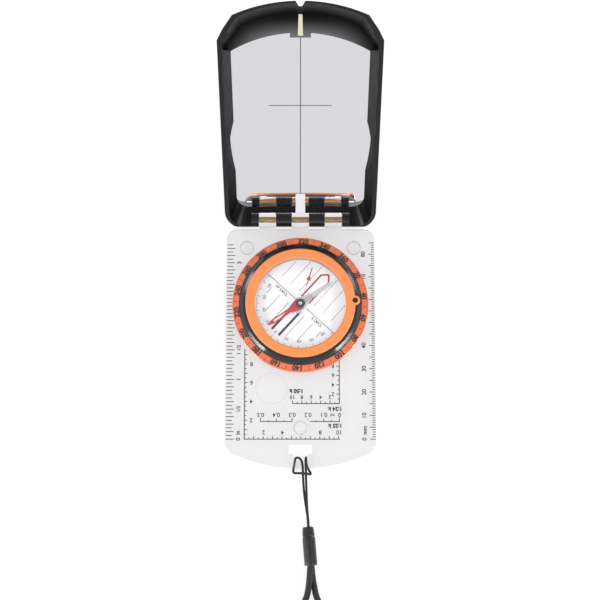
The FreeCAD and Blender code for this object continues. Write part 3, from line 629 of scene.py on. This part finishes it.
# control points from the dial axis, in millimetres
HITCH_ROUTE = [
    (3.30, -94.3, 2.20), (3.05, -90.0, 2.20), (2.40, -86.0, 2.25), (1.60, -80.5, 2.40),
    (1.25, -76.0, 2.60), (1.10, -72.6, 2.85), (1.00, -70.0, 3.45), (0.85, -67.6, 3.50),
    (0.20, -65.7, 3.35), (-1.10, -64.9, 2.60), (-2.20, -65.2, 1.15), (-2.42, -66.9, 0.92),
    (-2.85, -69.2, 0.95), (-3.10, -70.9, 1.40), (-2.75, -71.5, 2.60), (-1.60, -71.6, 3.70),
    (0.40, -71.6, 4.05), (2.80, -71.8, 4.05), (4.20, -72.1, 3.30), (4.45, -71.7, 2.10),
    (3.80, -70.6, 1.10), (2.90, -68.9, 0.95), (2.42, -66.9, 0.92), (2.38, -65.2, 1.15),
    (2.35, -64.8, 2.60), (2.20, -65.8, 3.40), (2.25, -67.7, 3.50), (2.30, -70.0, 3.40),
    (2.35, -72.6, 2.80), (2.45, -76.0, 2.85), (2.60, -80.5, 3.10), (2.80, -86.0, 3.30),
    (3.20, -90.0, 3.30), (3.50, -94.3, 3.30)]
NECK_LEFT = [
    (4.2, -109.1, 4.0), (3.9, -113.6, 4.0), (3.5, -118.0, 3.1), (2.6, -123.2, 1.8),
    (-0.9, -128.4, 1.7), (-5.5, -134.7, 2.0), (-9.3, -141.0, 2.2)]
NECK_RIGHT = [
    (4.6, -109.1, 1.4), (4.9, -113.6, 1.35), (5.7, -118.0, 1.4), (6.7, -123.2, 2.1),
    (10.2, -128.4, 3.8), (14.7, -134.7, 6.0), (18.5, -141.0, 7.3)]

COIL_CENTRE = (4.6, -152.0)
COIL_INNER = 12.4           # radius of the inmost turns
COIL_LOWEST = 2.2           # height of the lowest turns
COIL_START = math.radians(150.0)
COIL_OVERRUN = math.radians(240.0)      # how far the last turn gets round
COIL_STEPS = 210
CHANGE_FROM = 0.84          # part of a turn done when the cord starts to its next place
COIL_ORDER = [(2, 0), (1, 0), (0, 0), (0, 1), (0, 2), (1, 2), (1, 1), (2, 1), (2, 2)]


def coil_turns():
    """Nine turns packed three by three, starting and ending on the outside.

    COIL_ORDER gives each turn's place, as columns out from the inmost and levels up.
    """
    last = len(COIL_ORDER) - 1
    sweep = 2 * math.pi * last + COIL_OVERRUN
    points = []
    for i in range(1, COIL_STEPS):
        angle = sweep * i / COIL_STEPS
        turn = angle / (2 * math.pi)
        whole = min(int(turn), last)
        here = COIL_ORDER[whole]
        after = COIL_ORDER[min(whole + 1, last)]
        blend = min(1.0, max(0.0, (turn - whole - CHANGE_FROM) / (1 - CHANGE_FROM)))
        blend = blend * blend * (3 - 2 * blend)
        column, level = (h + (a - h) * blend for h, a in zip(here, after))
        radius = COIL_INNER + NECK_D * column
        points.append((COIL_CENTRE[0] + radius * math.cos(COIL_START + angle),
                       COIL_CENTRE[1] + radius * math.sin(COIL_START + angle),
                       COIL_LOWEST + NECK_D * level))
    return points


def in_frame(point):
    """Place in metres in the frame, of a point in millimetres about the dial axis."""
    return (point[0] * MM, (point[1] + DIAL_Y) * MM, point[2] * MM)


def cord_curve(name, points, diameter, mat, body):
    """Round cord on one open spline of order 3, with the route as its control points."""
    curve = bpy.data.curves.new(name, "CURVE")
    curve.dimensions = "3D"
    spline = curve.splines.new("NURBS")
    spline.points.add(len(points) - 1)
    for place, point in zip(spline.points, points):
        place.co = (*in_frame(point), 1.0)
    spline.order_u = 3
    spline.use_endpoint_u = True
    spline.resolution_u = 6
    curve.bevel_depth = diameter / 2 * MM
    curve.bevel_resolution = 5
    curve.use_fill_caps = True
    curve.materials.append(mat)
    obj = bpy.data.objects.new(name, curve)
    bpy.context.scene.collection.objects.link(obj)
    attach(obj, body)
    return obj


def cord_material(name, bands, wobble):
    """Black twisted or braided cord: fine diagonal ridges round and along it."""
    mat = material(name, (0.015, 0.015, 0.016), 0.75, grain_size=0.25, vary=0.15)
    tree = mat.node_tree
    wave = tree.nodes.new("ShaderNodeTexWave")
    wave.wave_type = "BANDS"
    wave.bands_direction = "DIAGONAL"
    wave.inputs["Scale"].default_value = bands
    wave.inputs["Distortion"].default_value = wobble
    wave.inputs["Detail"].default_value = 1.0
    bump = tree.nodes.new("ShaderNodeBump")
    bump.inputs["Strength"].default_value = 0.9
    bump.inputs["Distance"].default_value = 0.25 * MM
    tree.links.new(object_place(tree), wave.inputs["Vector"])
    tree.links.new(wave.outputs["Fac"], bump.inputs["Height"])
    tree.links.new(bump.outputs["Normal"], tree.nodes["Principled BSDF"].inputs["Normal"])
    return mat


hitch_mat = cord_material("black twisted cord", 900.0, 2.0)
neck_mat = cord_material("black braided cord", 500.0, 3.0)
hitch = cord_curve("hitch_cord_loop", HITCH_ROUTE, HITCH_D, hitch_mat, "base")
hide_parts("hitch_cord")
neck_route = NECK_LEFT + coil_turns() + NECK_RIGHT[::-1]
neck = cord_curve("neck_cord", neck_route, NECK_D, neck_mat, "base")
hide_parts("neck_cord_run", "neck_cord_coil")

# ---------------------------------------------------------------- floor, light and camera

HALF_FLOOR = 3.0            # metres
FLOOR_LEVEL = -0.05 * MM    # a hair under the feet, so that no faces share a plane

floor_mesh = bpy.data.meshes.new("floor")
corners = [(x * HALF_FLOOR, y * HALF_FLOOR, FLOOR_LEVEL)
           for x, y in ((-1, -1), (1, -1), (1, 1), (-1, 1))]
floor_mesh.from_pydata(corners, [], [(0, 1, 2, 3)])
floor_mesh.materials.append(material("pale floor", (0.34, 0.34, 0.34), 0.9, vary=0.005,
                                     Emission_Color=(1, 1, 1, 1), Emission_Strength=0.71))
floor = bpy.data.objects.new("floor", floor_mesh)
bpy.context.scene.collection.objects.link(floor)

world = bpy.data.worlds.new("studio")
world.use_nodes = True
background = world.node_tree.nodes["Background"]
background.inputs["Color"].default_value = (0.93, 0.93, 0.95, 1)
background.inputs["Strength"].default_value = 0.8
bpy.context.scene.world = world

FRAME_ORIGIN = (0, 0, 0)
HINGE_SIDE = (0, 0, 0.02)
DIAL = (0, DIAL_Y * MM, 0.01)
SOFTBOXES = (               # name, place, aim, size in metres, watts
    ("back left softbox", (-0.59, 0.40, 0.63), HINGE_SIDE, (0.2, 0.2), 1.2),
    ("back right softbox", (0.59, 0.40, 0.63), HINGE_SIDE, (0.2, 0.2), 0.9),
    ("front left softbox", (-0.42, -0.30, 0.50), FRAME_ORIGIN, (0.12, 0.12), 0.8),
    ("front right softbox", (0.42, -0.30, 0.50), FRAME_ORIGIN, (0.12, 0.12), 0.8),
    ("front softbox", (0.0, -0.52, 0.50), FRAME_ORIGIN, (0.12, 0.06), 0.3),
    ("low left softbox", (-0.41, -0.30, 0.035), DIAL, (0.22, 0.06), 1.0),
    ("low right softbox", (0.41, -0.30, 0.035), DIAL, (0.22, 0.06), 1.0))

for name, place, aim, size, watts in SOFTBOXES:
    light = bpy.data.lights.new(name, "AREA")
    light.shape = "RECTANGLE"
    light.size, light.size_y = size
    light.energy = watts
    box = bpy.data.objects.new(name, light)
    box.location = place
    box.rotation_mode = "QUATERNION"
    box.rotation_quaternion = (Vector(aim) - Vector(place)).to_track_quat("-Z", "Y")
    bpy.context.scene.collection.objects.link(box)

# high over the lanyard end of the plate, tilted towards the lid
camera_data = bpy.data.cameras.new("camera")
camera_data.lens = 74.94
camera_data.sensor_width = 36.0
camera_data.clip_start = 0.01
camera_data.clip_end = 20.0
camera = bpy.data.objects.new("camera", camera_data)
camera.location = in_frame((-0.17, -91.1, 534.4))
camera.rotation_euler = (math.radians(10.0), 0.0, 0.0)
bpy.context.scene.collection.objects.link(camera)
bpy.context.scene.camera = camera
bpy.context.scene.view_settings.view_transform = "Standard"
